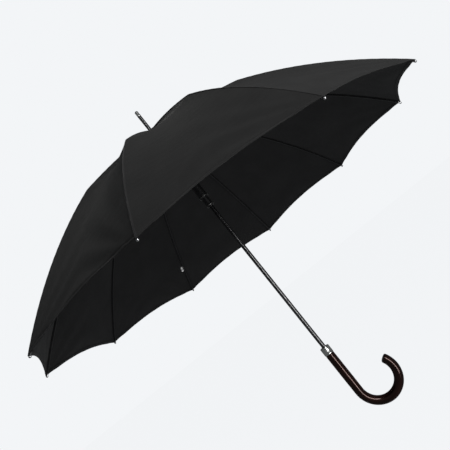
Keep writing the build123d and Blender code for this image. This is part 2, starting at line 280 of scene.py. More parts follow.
def ring_faces(rows: int, segments: int) -> Faces:
    """Faces of a closed outline turned round an axis, ring by ring.

    Args:
        rows: Number of points in the outline.
        segments: Number of steps round the axis.

    Returns:
        Quads as vertex numbers, the last ring joined to the first.
    """
    last = (rows - 1) * segments
    return grid_faces(rows, segments, close=True) + [
        (last + step, last + (step + 1) % segments, (step + 1) % segments, step)
        for step in range(segments)]


def rod_faces(rows: int, segments: int) -> Faces:
    """Faces of a rod laid out ring by ring, with flat ends.

    Args:
        rows: Number of rings.
        segments: Number of points in a ring.

    Returns:
        Quads and the two ends, as vertex numbers.
    """
    last = (rows - 1) * segments
    return grid_faces(rows, segments, close=True, flip=True) + [
        tuple(range(segments)), tuple(last + step for step in range(segments))[::-1]]


def lathe(name: str, profile: list[Flat], segments: int = 96) -> Piece:
    """Turn a closed outline of (radius, height) points round the shaft's axis.

    Args:
        name: Name of the object.
        profile: Outline, counter-clockwise seen with the radius to the right.
        segments: Number of steps round the axis.

    Returns:
        The turned object.
    """
    points, uvs = [], []
    run = 0.0
    for index, (radius, height) in enumerate(profile):
        if index:
            run += hypot(radius - profile[index - 1][0], height - profile[index - 1][1])
        for step in range(segments):
            turn = tau * step / segments
            points.append((radius * cos(turn), radius * sin(turn), height))
            uvs.append((turn / tau * LATHE_WRAP, run))
    return new_mesh(name, points, ring_faces(len(profile), segments), uvs)


def tube_along(name: str, centres: list[Vector], side: Vector,
               section: Callable[[float, float], float], segments: int = 40) -> Piece:
    """Skin a round rod along a plane line, with closed domed ends.

    Args:
        name: Name of the object.
        centres: Points of the middle line.
        side: Direction square to the plane of the line.
        section: Radius from (distance along, angle round).
        segments: Number of steps round.

    Returns:
        The rod.
    """
    points, uvs = [], []
    run = 0.0
    for index, centre in enumerate(centres):
        before, after = centres[max(index - 1, 0)], centres[min(index + 1, len(centres) - 1)]
        tangent = (after - before).normalized()
        up = side.cross(tangent).normalized()
        if index:
            run += (centre - centres[index - 1]).length
        for step in range(segments):
            turn = tau * step / segments
            radius = section(run, turn)
            points.append(tuple(centre + up * (radius * cos(turn)) + side * (radius * sin(turn))))
            uvs.append((turn / tau * ROD_WRAP, run))
    faces = grid_faces(len(centres), segments, close=True)
    faces.append(tuple(range(segments))[::-1])
    faces.append(tuple((len(centres) - 1) * segments + step for step in range(segments)))
    return new_mesh(name, points, faces, uvs)


def turned(flat: Flat, azimuth: float, sideways: float = 0.0) -> Vector:
    """Point of a rib's plane in the row frame.

    Args:
        flat: Distance from the axis, and height.
        azimuth: Azimuth of the plane.
        sideways: Distance from the plane, along the tangent.

    Returns:
        The point in metres.
    """
    out = Vector((cos(azimuth), sin(azimuth), 0))
    tangent = Vector((-sin(azimuth), cos(azimuth), 0))
    return out * flat[0] + tangent * sideways + Vector((0, 0, flat[1]))


# ---- finishes ----


class Graph:
    """Short way to wire a material's nodes."""

    def __init__(self, name: str) -> None:
        """Start an empty material with one Principled shader.

        Args:
            name: Name of the material.
        """
        self.material = bpy.data.materials.new(name)
        self.material.use_nodes = True
        self.nodes = self.material.node_tree.nodes
        self.links = self.material.node_tree.links
        self.nodes.clear()
        self.shader = self.nodes.new("ShaderNodeBsdfPrincipled")
        output = self.nodes.new("ShaderNodeOutputMaterial")
        self.links.new(self.shader.outputs[0], output.inputs["Surface"])

    def feed(self, socket: Socket, value: object) -> None:
        """Link a socket to an input, or set the input's constant.

        Args:
            socket: The input.
            value: Number, colour or socket.
        """
        if isinstance(value, Socket):
            self.links.new(value, socket)
        else:
            socket.default_value = value

    def add(self, kind: str, **values: object) -> bpy.types.Node:
        """Add a node and set its inputs and properties.

        Args:
            kind: Node type without the ShaderNode prefix.
            values: Inputs, by name with _ for a space, or properties; a socket links.

        Returns:
            The node.
        """
        node = self.nodes.new("ShaderNode" + kind)
        for key, value in values.items():
            name = key.replace("_", " ")
            socket = next((s for s in node.inputs
                           if s.name.lower() == name.lower() and s.enabled), None)
            if socket is None:
                setattr(node, key, value)
            else:
                self.feed(socket, value)
        return node

    def math(self, operation: str, first: object, second: object = 0.0) -> Socket:
        """Add a Math node.

        Args:
            operation: What it does, such as MULTIPLY.
            first: Number or socket.
            second: Number or socket.

        Returns:
            Its output.
        """
        node = self.nodes.new("ShaderNodeMath")
        node.operation = operation
        for socket, value in zip(node.inputs, (first, second)):
            self.feed(socket, value)
        return node.outputs[0]

    def stretched(self, source: str, scale: Point) -> Socket:
        """Texture coordinates stretched along each axis.

        Args:
            source: Output of the Texture Coordinate node, such as UV or Object.
            scale: Factor along each axis.

        Returns:
            The coordinates.
        """
        coordinates = self.nodes.new("ShaderNodeTexCoord").outputs[source]
        return self.add("Mapping", Vector=coordinates, Scale=scale).outputs[0]

    def noise(self, vector: Socket, scale: float, detail: float = 3.0,
              roughness: float = 0.5) -> Socket:
        """Noise between 0 and 1.

        Args:
            vector: Coordinates.
            scale: Frequency.
            detail: Number of octaves.
            roughness: Strength of the finer octaves.

        Returns:
            Its value.
        """
        return self.add("TexNoise", Vector=vector, Scale=scale, Detail=detail,
                        Roughness=roughness).outputs["Fac"]

    def ramp(self, value: Socket, stops: list[tuple[float, Point]]) -> Socket:
        """Colour ramp.

        Args:
            value: What drives it.
            stops: Positions and colours.

        Returns:
            The colour.
        """
        node = self.nodes.new("ShaderNodeValToRGB")
        elements = node.color_ramp.elements
        while len(elements) < len(stops):
            elements.new(0.5)
        for element, (position, colour) in zip(elements, stops):
            element.position = position
            element.color = (*colour, 1)
        self.links.new(value, node.inputs[0])
        return node.outputs[0]

    def span(self, value: Socket, low: float, high: float) -> Socket:
        """Map 0 to 1 on to a range.

        Args:
            value: What to map.
            low: Result at 0.
            high: Result at 1.

        Returns:
            The mapped value.
        """
        return self.add("MapRange", Value=value, To_Min=low, To_Max=high).outputs[0]

    def bump(self, height: Socket, distance: float, strength: float = 1.0,
             under: Socket | None = None) -> Socket:
        """Bump from a height.

        Args:
            height: Height between 0 and 1.
            distance: Metres that a height of 1 stands out.
            strength: Share of the effect.
            under: A bump to add this one to.

        Returns:
            The normal.
        """
        node = self.add("Bump", Height=height, Distance=distance, Strength=strength)
        if under is not None:
            self.links.new(under, node.inputs["Normal"])
        return node.outputs[0]

    def set(self, **values: object) -> Material:
        """Set or link inputs of the shader.

        Args:
            values: Inputs by name, with _ for a space.

        Returns:
            The material.
        """
        for key, value in values.items():
            self.feed(self.shader.inputs[key.replace("_", " ")], value)
        return self.material


@dataclass(frozen=True)
class Pongee:
    """Fine plain-weave polyester with a faint sheen."""

    name: str = "pongee_charcoal"
    dark: Point = (0.0125, 0.0126, 0.0130)
    light: Point = (0.0205, 0.0207, 0.0213)
    thread: float = 0.42 * MM
    sheen: float = 0.05
    rough: Flat = (0.62, 0.78)
    pucker_depth: float = 0.9 * MM
    weave_depth: float = 0.05 * MM

    def material(self) -> Material:
        """Build the cloth: weave bump, pucker and slow colour drift."""
        g = Graph(self.name)
        plain = g.stretched("UV", (1, 1, 1))
        bands = tau / (20 * self.thread)
        warp = g.add("TexWave", Vector=plain, Scale=bands, bands_direction="X").outputs["Fac"]
        weft = g.add("TexWave", Vector=plain, Scale=bands, bands_direction="Y").outputs["Fac"]
        weave = g.math("MULTIPLY", warp, weft)
        cloud = g.noise(plain, 9.0, 4.0, 0.55)
        slub = g.noise(g.stretched("UV", (900, 30, 1)), 1.0, 2.0)
        drift = g.math("ADD", g.math("MULTIPLY", cloud, 0.8), g.math("MULTIPLY", slub, 0.2))
        colour = g.ramp(drift, [(0.30, self.dark), (0.72, self.light)])
        pucker = g.noise(g.stretched("UV", (26, 70, 1)), 1.0, 2.0, 0.45)
        soft = g.bump(pucker, self.pucker_depth, 0.5)
        fine = g.bump(weave, self.weave_depth, 0.6, soft)
        return g.set(Base_Color=colour, Roughness=g.span(slub, *self.rough),
                     Sheen_Weight=self.sheen, Sheen_Roughness=0.45,
                     Specular_IOR_Level=0.14, Normal=fine)


@dataclass(frozen=True)
class LacqueredWood:
    """Near-black stained wood under a clear gloss lacquer."""

    name: str = "dark_lacquered_wood"
    grain: Point = (0.0028, 0.0014, 0.0012)
    streak: Point = (0.0130, 0.0045, 0.0036)
    glint: Point = (1.0, 0.62, 0.54)
    rough: Flat = (0.12, 0.22)
    pore_depth: float = 0.03 * MM

    def material(self) -> Material:
        """Build the wood: long grain, reddish streaks and a glossy coat."""
        g = Graph(self.name)
        long = g.stretched("UV", (520, 9, 1))
        fibre = g.noise(long, 1.0, 5.0, 0.62)
        broad = g.noise(g.stretched("UV", (90, 14, 1)), 1.0, 3.0)
        mix = g.math("ADD", g.math("MULTIPLY", fibre, 0.55), g.math("MULTIPLY", broad, 0.45))
        colour = g.ramp(mix, [(0.42, self.grain), (0.60, self.streak), (0.66, self.grain)])
        return g.set(Base_Color=colour, Roughness=g.span(fibre, *self.rough), Coat_Weight=0.20,
                     Coat_Roughness=0.06, Specular_IOR_Level=0.32, Specular_Tint=(*self.glint, 1.0),
                     Normal=g.bump(fibre, self.pore_depth, 0.3))


@dataclass(frozen=True)
class Metal:
    """Plated or bare metal with faint drawing lines."""

    name: str
    colour: Point
    roughness: float
    spread: float = 0.08
    lines: float = 0.02 * MM

    def material(self) -> Material:
        """Build the metal: roughness that varies and fine lines round it."""
        g = Graph(self.name)
        lines = g.noise(g.stretched("Object", (300, 300, 5200)), 1.0, 2.0)
        smudge = g.noise(g.stretched("Object", (60, 60, 60)), 1.0, 4.0)
        dim = tuple(v * 0.86 for v in self.colour)
        colour = g.ramp(smudge, [(0.3, dim), (0.7, self.colour)])
        return g.set(Base_Color=colour, Metallic=1.0,
                     Roughness=g.span(smudge, self.roughness, self.roughness + self.spread),
                     Normal=g.bump(lines, self.lines, 0.5))


@dataclass(frozen=True)
class Lacquer:
    """Gloss enamel or satin plastic with a slight orange peel."""

    name: str
    colour: Point
    roughness: float
    coat: float = 0.0
    peel: float = 0.03 * MM
    level: float = 0.5

    def material(self) -> Material:
        """Build the coat: colour drift, fine peel and wear in its roughness."""
        g = Graph(self.name)
        peel = g.noise(g.stretched("Object", (1, 1, 1)), 900.0, 2.0)
        wear = g.noise(g.stretched("Object", (1, 1, 0.4)), 70.0, 4.0, 0.6)
        pale = tuple(v * 1.5 + 0.002 for v in self.colour)
        colour = g.ramp(wear, [(0.35, self.colour), (0.75, pale)])
        rough = g.span(wear, self.roughness * 0.8, self.roughness * 1.3)
        return g.set(Base_Color=colour, Roughness=rough, Coat_Weight=self.coat,
                     Coat_Roughness=0.12, Specular_IOR_Level=self.level,
                     Normal=g.bump(peel, self.peel, 0.4))


class Finish(Enum):
    """The finishes of this umbrella."""

    CLOTH = Pongee()
    TRIM_CLOTH = Pongee("trim_cloth", (0.011, 0.011, 0.012), (0.020, 0.020, 0.021), 0.5 * MM, 0.12)
    WOOD = LacqueredWood()
    NICKEL = Metal("bright_nickel", (0.76, 0.77, 0.75), 0.26, 0.06, 0.0015 * MM)
    PALE = Lacquer("pale_stud_plate", (0.72, 0.72, 0.71), 0.30, 0.0, 0.002 * MM)
    SPRING = Metal("spring_steel", (0.46, 0.46, 0.47), 0.28)
    SHAFT = Lacquer("gunmetal_gloss", (0.008, 0.008, 0.009), 0.27, 0.3, 0.0006 * MM, 0.9)
    RIB = Lacquer("black_rib_lacquer", (0.012, 0.012, 0.013), 0.34)
    FIBRE = Lacquer("glass_fibre_black", (0.010, 0.010, 0.011), 0.40)
    PLASTIC = Lacquer("satin_black_plastic", (0.014, 0.014, 0.015), 0.36, 0.0, 0.05 * MM)


MATERIALS: dict[Finish, Material] = {}


def dress(piece: Piece, finish: Finish) -> None:
    """Give a piece its finish.

    Args:
        piece: A new piece or a CAD node's object.
        finish: What it is finished in.
    """
    if finish not in MATERIALS:
        MATERIALS[finish] = finish.value.material()
    piece.data.materials.clear()
    piece.data.materials.append(MATERIALS[finish])


def place(piece: Piece, body: str, slot: str, finish: Finish, *nodes: str) -> None:
    """Dress a new piece, hang it on its body and let it stand for CAD nodes.

    Args:
        piece: The piece, in place in the row frame.
        body: The body that it rides on.
        slot: The record's material slot; not used.
        finish: Its finish.
        nodes: CAD nodes that it stands for.
    """
    dress(piece, finish)
    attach(piece, body)
    if nodes:
        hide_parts(*nodes)
    LOG.info("%s rides on %s", piece.name, body)


# ---- canopy ----


def bulge(side: float) -> float:
    """Rounded rise from 0 over a rib to 1 half-way between two ribs."""
    return side * (2.0 - side)


@dataclass(frozen=True)
class Creases:
    """Soft tension folds of the cloth: fans from the tips, waves at the hem, flutes at the crown.

    Shares are of the depth, folds are radians or half turns, and fades are metres.
    """

    depth: float = 2.3 * MM
    tip_gap: float = 0.012
    tip_folds: float = 15.0
    tip_shift: float = 0.6
    tip_fade: float = 0.19
    tip_blend: float = 0.05
    hem_share: float = 0.35
    hem_folds: float = 2.5
    hem_shift: float = 0.4
    hem_fade: float = 0.10
    crown_share: float = 0.30
    crown_folds: float = 3.0
    crown_fade: float = 0.16

    def height(self, beside: float, side: float, distance: float, total: float) -> float:
        """Height of the folds.

        Args:
            beside: Distance from the rib, along the cloth.
            side: 0 over the rib and 1 half-way to the next one.
            distance: Distance along the rib.
            total: Length of the rib.

        Returns:
            Metres outwards.
        """
        from_tip = total - distance + self.tip_gap
        away = hypot(beside, from_tip)
        fan = sin(atan2(beside, from_tip) * self.tip_folds + self.tip_shift)
        tip = fan * exp(-away / self.tip_fade) * min(1.0, away / self.tip_blend)
        hem = self.hem_share * sin(side * pi * self.hem_folds + self.hem_shift)
        hem *= exp(-from_tip / self.hem_fade)
        crown = self.crown_share * sin(side * pi * self.crown_folds)
        crown *= exp(-distance / self.crown_fade)
        return self.depth * side * (2.0 - side) * (tip + hem + crown)


@dataclass
class Canopy:
    """Ten gores of cloth, each cut in two half gores that hang on the ribs beside it.

    A half gore has an inner part on the inner rib and an outer part on the outer rib, and they
    meet without a step when the umbrella is open.
    """

    ribs: RibLine = field(default_factory=RibLine)
    lift: float = 3.6 * MM
    sag: float = 15.0 * MM
    crown_start: float = 4.0 * MM
    scallop: float = 16.0 * MM
    hem_turn: float = 7.0 * MM
    hem_thickness: float = 0.7 * MM
    stitch_line: float = 6.0 * MM
    stitch_depth: float = 0.35 * MM
    stitch_width: float = 0.6 * MM
    creases: Creases = field(default_factory=Creases)
    inner_rows: int = 34
    outer_rows: int = 56
    hem_rows: int = 3
    columns: int = 18
    turn_under: tuple[Flat, ...] = ((0.0, 0.5), (0.25, 1.0), (1.0, 1.0))
    turn_uv: float = 0.02
    inner_keep: float = 0.14
    outer_keep: float = 0.13
    seam_steps: int = 130
    seam_taper: float = 0.55
    seam_stitch: Flat = (0.10, 2.6)
    seam_bend: float = 9 * MM
    seam_section: tuple[Flat, ...] = ((-1.3, 0.0), (-0.7, 0.32), (0.7, 0.32), (1.3, 0.0),
                                      (2.6, -0.9), (0.7, -1.5), (-0.7, -1.5), (-2.6, -0.9))

    def ridge(self, distance: float, lift: float) -> Flat:
        """Point over the rib's middle line, from the notch at 0 to the tip."""
        inner = self.ribs.inner
        if distance <= inner.length:
            return inner.point(distance, lift)
        return self.ribs.outer.point(distance - inner.length, lift)

    def hem_distance(self, crown: float) -> float:
        """Distance along the rib at which the hem lies.

        Args:
            crown: 0 over a rib and 1 half-way between two ribs.

        Returns:
            Metres from the notch.
        """
        return self.ribs.length - self.scallop * crown

    def cloth(self, azimuth: float, turn: int, side: float, distance: float,
              lift: float) -> Vector:
        """Point of a half gore.

        Args:
            azimuth: Azimuth of its rib.
            turn: +1 for the half gore on the side of the next rib, -1 for the other.
            side: 0 over the rib and 1 half-way to the next one.
            distance: Distance along the rib.
            lift: Height over the rib's middle line.

        Returns:
            The point in the row frame.
        """
        half, total = self.ribs.half_angle, self.ribs.length
        share = min(max((distance - self.crown_start) / (total - self.crown_start), 0.0), 1.0)
        across, height = self.ridge(distance, lift)
        folds = self.creases.height(across * sin(half) * side, side, distance, total)
        fall = self.sag * bulge(side) * sin(pi * share ** 0.7) - folds
        middle = azimuth + turn * half
        flat = (across * cos(half), height - fall)
        return turned(flat, middle, -turn * (1.0 - side) * across * sin(half))

    def rows(self, inner: bool) -> list[Flat]:
        """Rows of a part, from its start to its end.

        Args:
            inner: True for the part on the inner rib.

        Returns:
            For each row, its share of the way and how far the hem's stitches pull it down.
        """
        if inner:
            return [(row / self.inner_rows, 0.0) for row in range(self.inner_rows + 1)]
        length = self.ribs.outer.length
        sewn = 1.0 - self.stitch_line / length
        groove = self.stitch_width / length
        rows = [(row / self.outer_rows * (sewn - groove), 0.0)
                for row in range(self.outer_rows + 1)]
        rows += [(sewn, self.stitch_depth), (sewn + groove, 0.0)]
        return rows + [(sewn + groove + part / self.hem_rows * (1.0 - sewn - groove), 0.0)
                       for part in range(1, self.hem_rows + 1)]

    def half_gore(self, number: int, turn: int, inner: bool) -> Piece:
        """Build one part of one half gore.

        Args:
            number: Number of the rib that it hangs on.
            turn: +1 or -1 for its side of the rib.
            inner: True for the part on the inner rib.

        Returns:
            The cloth.
        """
        azimuth, seam = self.ribs.azimuth(number), self.ribs.inner.length
        sides = [column / self.columns for column in range(self.columns + 1)]
        points, uvs = [], []
        rows = self.rows(inner)
        for share, pulled in rows:
            for side in sides:
                hem = self.hem_distance(bulge(side))
                first, last = (self.crown_start, seam) if inner else (seam, hem)
                distance = first + share * (last - first)
                points.append(self.cloth(azimuth, turn, side, distance, self.lift - pulled))
                across = self.ridge(distance, self.lift)[0]
                uvs.append((side * across * sin(self.ribs.half_angle), distance))
        count = len(rows)
        if not inner:
            for back, drop in self.turn_under:
                for side in sides:
                    distance = self.hem_distance(bulge(side)) - back * self.hem_turn
                    lift = self.lift - drop * self.hem_thickness
                    points.append(self.cloth(azimuth, turn, side, distance, lift))
                    across = self.ridge(distance, self.lift)[0]
                    uvs.append((side * across * sin(self.ribs.half_angle),
                                distance + self.turn_uv * drop))
            count += len(self.turn_under)
        faces = grid_faces(count, len(sides), flip=turn < 0)
        name = f"canopy_{'inner' if inner else 'outer'}_{number:02d}{'a' if turn > 0 else 'b'}"
        return new_mesh(name, points, faces, uvs)

    def gather(self, piece: Piece, number: int, turn: int, inner: bool) -> None:
        """Hang a half gore on its rib so that it moves with the rib, with a mesh of its own.

        Args:
            piece: The cloth.
            number: Number of its rib.
            turn: +1 or -1 for its side of the rib.
            inner: True for the part on the inner rib.
        """
        azimuth = self.ribs.azimuth(number)
        bow = self.ribs.inner if inner else self.ribs.outer
        distance = bow.length / 2 + (0.0 if inner else self.ribs.inner.length)
        ridge = self.cloth(azimuth, turn, 0.0, distance, self.lift)
        middle = self.cloth(azimuth, turn, 1.0, distance, self.lift)
        body = self.ribs.body(number, inner)
        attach(piece, body)
        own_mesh(piece)
        LOG.info("%s gathers on %s", piece.name, body)

    def declare(self, number: int, inner: bool) -> None:
        """Work out the length that the cloth on a rib is cut to; the result is not used.

        Args:
            number: Number of its rib.
            inner: True for the part on the inner rib.
        """
        bow = self.ribs.inner if inner else self.ribs.outer
        length = bow.length + (0.0 if inner else self.hem_turn)
        self.ribs.body(number, inner)

    def seam(self, number: int) -> None:
        """Build the felled seam over a rib, with its allowance folded inside.

        Args:
            number: Number of the rib.
        """
        azimuth, steps = self.ribs.azimuth(number), self.seam_steps
        depth, pitch = self.seam_stitch
        points, uvs = [], []
        for step in range(steps + 1):
            distance = self.crown_start + step / steps * (self.ribs.length - self.crown_start)
            taper = self.seam_taper if step in (0, steps) else 1.0
            for index, (sideways, up) in enumerate(self.seam_section):
                stitch = depth * sin(distance / (pitch * MM) * tau) if 1 <= index <= 2 else 0.0
                flat = self.ridge(distance, self.lift + (up + stitch) * taper * MM)
                points.append(turned(flat, azimuth, sideways * taper * MM))
                uvs.append((sideways * MM, distance))
        faces = rod_faces(steps + 1, len(self.seam_section))
        piece = new_mesh(f"canopy_seam_{number:02d}", points, faces, uvs)
        dress(piece, Finish.TRIM_CLOTH)
        near = turned(self.ridge(self.ribs.inner.length - self.seam_bend, 0.0), azimuth)
        far = turned(self.ridge(self.ribs.inner.length + self.seam_bend, 0.0), azimuth)
        self.ribs.body(number, True)
        self.ribs.body(number)
        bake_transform(piece)
        LOG.info("%s bends over the rib joint", piece.name)

    def build(self) -> None:
        """Build all gores and seams."""
        for number in range(1, self.ribs.count + 1):
            for turn in (1, -1):
                for inner in (True, False):
                    piece = self.half_gore(number, turn, inner)
                    dress(piece, Finish.CLOTH)
                    if inner and turn > 0:
                        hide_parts(f"canopy_panel_{number:02d}")
                    self.gather(piece, number, turn, inner)
                    self.declare(number, inner)
            self.seam(number)


@dataclass
class Crown:
    """Cloth rosette where shaft, ferrule and canopy meet."""

    ribs: RibLine = field(default_factory=RibLine)
    hole: float = 5.1 * MM
    reach: float = 22.0 * MM
    points: int = 20
    thickness: float = 0.5 * MM
    pinking: float = 0.035
    slope_start: float = 13.0 * MM
    slope: float = 0.30
    flute: float = 0.35 * MM
    top_gap: float = 0.2 * MM
    rings: int = 10
    segments: int = 160

    def build(self) -> None:
        """Build the fluted rosette that covers the ends of the gores."""
        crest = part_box("crown_rosette")[1][2] - self.top_gap
        top = []
        for ring in range(self.rings + 1):
            share = ring / self.rings
            for step in range(self.segments):
                turn = tau * step / self.segments
                scallop = 1.0 + self.pinking * share * cos(self.points * turn)
                radius = (self.hole + share * (self.reach - self.hole)) * scallop
                slope = max(radius - self.slope_start, 0.0) * self.slope
                flute = self.flute * share * cos(self.ribs.count * (turn - self.ribs.phase))
                top.append((radius * cos(turn), radius * sin(turn), crest - slope + flute))
        grid = top + [(x, y, z - self.thickness) for x, y, z in reversed(top)]
        faces = ring_faces(2 * self.rings + 2, self.segments)
        uvs = [(x, y) for x, y, _ in grid]
        piece = new_mesh("crown_rosette_cloth", grid, faces, uvs)
        place(piece, "root", "strap_fabric", Finish.TRIM_CLOTH, "crown_rosette")


# ---- shaft, handle and trims ----


@dataclass
class Handle:
    """Crook handle and its bright collar."""

    crook_radius: float = 46.5 * MM
    sweep: float = radians(214.0)
    radius: float = 10.2 * MM
    end_round: float = 3.6 * MM
    straight_steps: int = 40
    bend_steps: int = 120
    round_steps: int = 8
    segments: int = 56
    bore: float = 5.1 * MM
    rounding: float = 0.8 * MM
    rounding_steps: int = 5
    groove_inset: float = 2.4 * MM
    groove_depth: float = 0.28 * MM

    def centre_line(self) -> list[Vector]:
        """Middle line of the handle, from the collar to the free end."""
        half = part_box("handle_collar")[0][2]
        line = [Vector((0, 0, half - 2 * half * step / self.straight_steps))
                for step in range(self.straight_steps)]
        for step in range(self.bend_steps + 1):
            turn = self.sweep * step / self.bend_steps
            line.append(Vector((self.crook_radius * (1 - cos(turn)), 0,
                                -half - self.crook_radius * sin(turn))))
        return line

    def build(self) -> None:
        """Build the rod with a rounded end, and the collar."""
        centres = self.centre_line()
        last = (centres[-1] - centres[-2]).normalized()
        body_end = centres[-1] - last * self.end_round
        keep = [c for c in centres if (c - centres[-1]).length > self.end_round * 1.05]
        for step in range(1, self.round_steps + 1):
            turn = pi / 2 * step / self.round_steps
            keep.append(body_end + last * (self.end_round * sin(turn)))
        total = sum((b - a).length for a, b in zip(keep, keep[1:]))
        start_round = total - self.end_round

        def section(run: float, turn: float) -> float:
            """Radius of the rod, with a faint swell of the wood and a rounded free end.

            Args:
                run: Distance along the rod.
                turn: Angle round it.

            Returns:
                The radius in metres.
            """
            swell = 0.12 * MM * sin(run * 41.0 + 2.0 * sin(turn)) + 0.05 * MM * sin(run * 113.0)
            if run <= start_round:
                return self.radius + swell
            into = min((run - start_round) / self.end_round, 1.0)
            return self.radius + swell - self.end_round * (1 - (1 - into ** 2) ** 0.5)

        rod = tube_along("crook_handle_wood", keep, Vector((0, 1, 0)), section, self.segments)
        place(rod, "root", "handle_wood", Finish.WOOD, "crook_handle")
        self.collar()

    def collar(self) -> None:
        """Turn the collar with softened edges and a fine groove near each end."""
        low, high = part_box("handle_collar")
        outer, inner, edge = high[0], self.bore, self.rounding
        bottom, top, steps = low[2], high[2], self.rounding_steps
        turns = [pi / 2 * step / steps for step in range(steps + 1)]
        profile = [(inner, bottom), (outer - edge, bottom)]
        profile += [(outer - edge + edge * sin(turn), bottom + edge - edge * cos(turn))
                    for turn in turns[1:]]
        floor = outer - self.groove_depth
        for groove in (bottom + self.groove_inset, top - self.groove_inset):
            profile += [(outer, groove - 0.35 * MM), (floor, groove - 0.12 * MM),
                        (floor, groove + 0.12 * MM), (outer, groove + 0.35 * MM)]
        profile += [(outer - edge + edge * cos(turn), top - edge + edge * sin(turn))
                    for turn in turns]
        profile += [(inner + 1.0 * MM, top), (inner, top - 0.8 * MM)]
        collar = lathe("handle_collar_nickel", profile)
        place(collar, "root", "bright_nickel", Finish.NICKEL, "handle_collar")


@dataclass
class Ferrule:
    """Ferrule's turned end cap."""

    dome: float = 2.4 * MM
    rim: float = 0.12 * MM
    waist: float = 0.1 * MM
    centre: float = 0.3 * MM
    dome_steps: int = 9
    segments: int = 64

    def build(self) -> None:
        """Turn the silver cap with a domed end and a rolled rim."""
        low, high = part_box("ferrule_cap")
        radius, dome, foot = high[0], self.dome, low[2]
        profile = [(self.centre, foot), (radius - 0.3 * MM, foot),
                   (radius + self.rim, foot + 0.3 * MM), (radius + self.rim, foot + 1.2 * MM),
                   (radius - self.waist, foot + 1.6 * MM), (radius - self.waist, high[2] - dome)]
        for step in range(1, self.dome_steps):
            turn = pi / 2 * step / self.dome_steps
            profile.append(((radius - self.waist) * cos(turn), high[2] - dome + dome * sin(turn)))
        profile.append((self.centre, high[2]))
        cap = lathe("ferrule_cap_nickel", profile, self.segments)
        place(cap, "root", "bright_nickel", Finish.NICKEL, "ferrule_cap")


@dataclass
class RibTips:
    """Bright cup on the end of each rib, sewn to the canopy's corner."""

    ribs: RibLine = field(default_factory=RibLine)
    radius: float = 2.5 * MM
    neck: float = 1.9 * MM
    length: float = 9.0 * MM
    inboard: float = 0.72
    segments: int = 24

    def build(self) -> None:
        """Turn one cup for each rib, about the end of its middle line."""
        outer = self.ribs.outer
        profile = [(0.0, self.neck * 0.9), (0.18, self.neck), (0.30, self.neck * 0.92),
                   (0.50, self.neck), (0.62, self.radius * 0.9), (0.74, self.radius),
                   (0.88, self.radius * 0.93), (1.0, self.radius * 0.5), (1.04, self.radius * 0.08)]
        start = outer.length - self.length * self.inboard
        for number in range(1, self.ribs.count + 1):
            azimuth = self.ribs.azimuth(number)
            points, uvs = [], []
            for share, radius in profile:
                for step in range(self.segments):
                    turn = tau * step / self.segments
                    flat = outer.point(start + share * self.length, radius * sin(turn))
                    points.append(turned(flat, azimuth, radius * cos(turn)))
                    uvs.append((turn * radius, share * self.length))
            faces = rod_faces(len(profile), self.segments)
            tip = new_mesh(f"rib_tip_cup_{number:02d}", points, faces, uvs)
            place(tip, self.ribs.body(number), "bright_nickel", Finish.SPRING)


